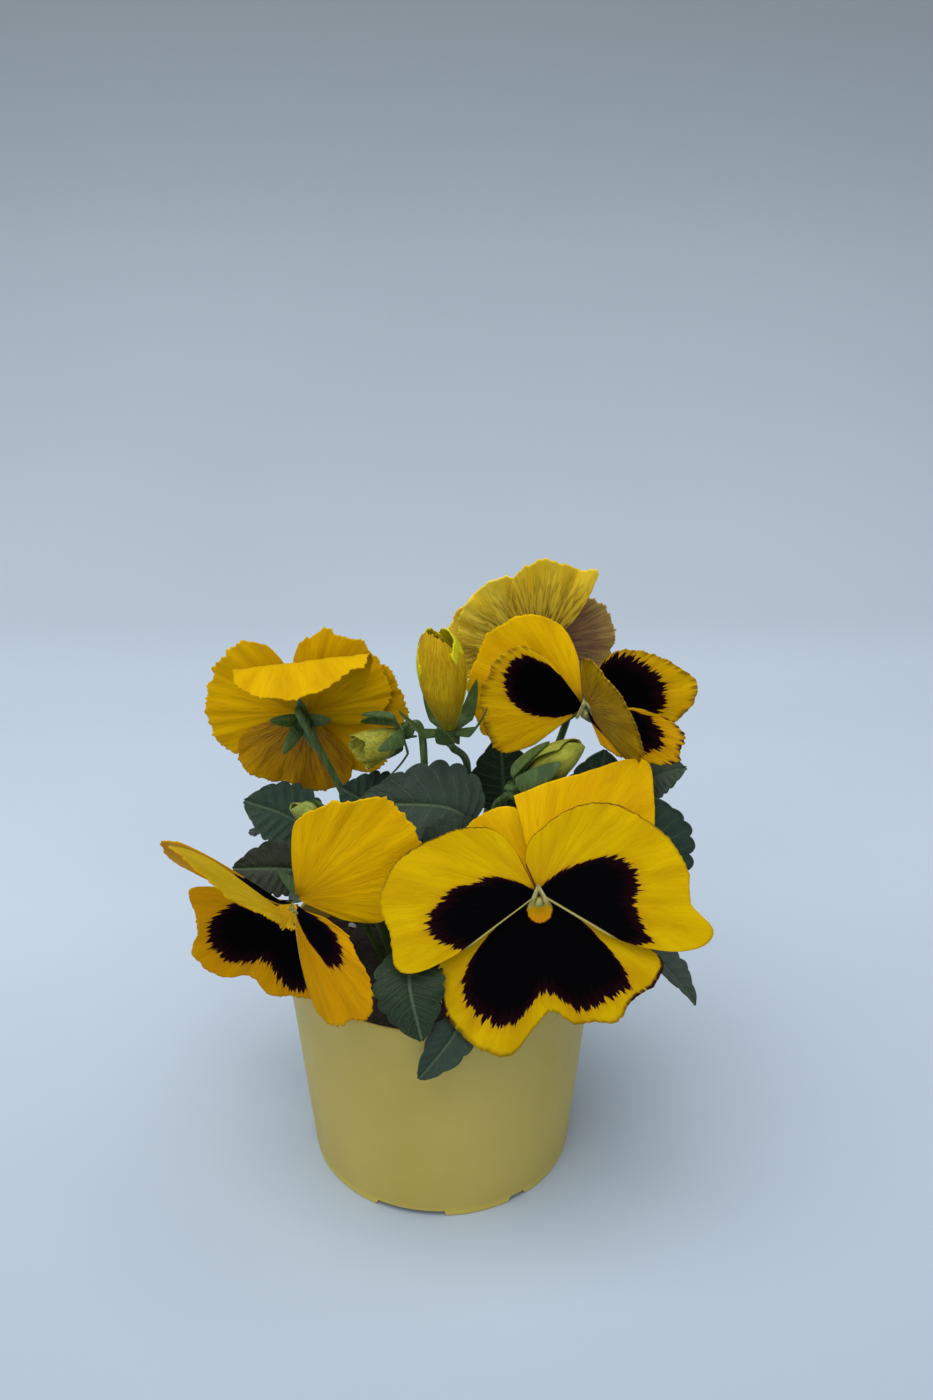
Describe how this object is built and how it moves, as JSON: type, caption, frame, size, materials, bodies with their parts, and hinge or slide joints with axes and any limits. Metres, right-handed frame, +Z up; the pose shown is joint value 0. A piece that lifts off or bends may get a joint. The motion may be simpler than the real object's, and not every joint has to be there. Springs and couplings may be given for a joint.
{
  "type": "potted pansy",
  "caption": "Bushy yellow pansy with dark-blotched open blooms, buds and scalloped leaves, growing in potting soil in a small tapered pale yellow plastic pot with a notched foot.",
  "frame": {"origin": "middle of the pot's foot, on the surface it stands on", "axes": "+Z up along the pot's axis; the side the blooms are best seen from faces -Y; +X is to the right of someone looking at that side"},
  "size_m": [0.1418, 0.1078, 0.1712],
  "materials": {
    "pot_plastic": "satin, slightly translucent pale yellow",
    "soil": "matt, crumbly peat with grit",
    "petal": "velvety yellow with near-black blotches",
    "bud": "soft greenish yellow",
    "stalk": "satin green",
    "leaf": "satin dark green with pale veins"
  },
  "bodies": {
    "root": {"pot": "pot_plastic", "potting_soil": "soil", "bloom_a_side_right": "petal", "bloom_a_side_left": "petal", "bloom_a_lip": "petal", "bloom_a_upper_right": "petal", "bloom_a_upper_left": "petal", "stalk_a": "stalk", "bloom_b_side_right": "petal", "bloom_b_side_left": "petal", "bloom_b_lip": "petal", "bloom_b_upper_right": "petal", "bloom_b_upper_left": "petal", "stalk_b": "stalk", "bloom_c_side_right": "petal", "bloom_c_side_left": "petal", "bloom_c_lip": "petal", "bloom_c_upper_right": "petal", "bloom_c_upper_left": "petal", "stalk_c": "stalk", "bloom_d_side_right": "petal", "bloom_d_side_left": "petal", "bloom_d_lip": "petal", "bloom_d_upper_right": "petal", "bloom_d_upper_left": "petal", "stalk_d": "stalk", "bloom_e_side_right": "petal", "bloom_e_side_left": "petal", "bloom_e_lip": "petal", "bloom_e_upper_right": "petal", "bloom_e_upper_left": "petal", "stalk_e": "stalk", "bud_f": "bud", "stalk_f": "stalk", "bud_g": "bud", "stalk_g": "stalk", "bud_h": "bud", "stalk_h": "stalk", "bud_i": "bud", "stalk_i": "stalk", "stem_front": "stalk", "stem_left": "stalk", "stem_right": "stalk", "stem_back": "stalk", "leaf_centre": "leaf", "leaf_centre_front": "leaf", "leaf_right": "leaf", "leaf_right_low": "leaf", "leaf_left": "leaf", "leaf_left_back": "leaf", "leaf_front": "leaf", "leaf_front_low": "leaf", "leaf_middle": "leaf", "leaf_middle_right": "leaf", "leaf_right_top": "leaf", "leaf_middle_left": "leaf", "leaf_back": "leaf", "leaf_back_right": "leaf", "leaf_back_left": "leaf"}
  },
  "joints": []
}
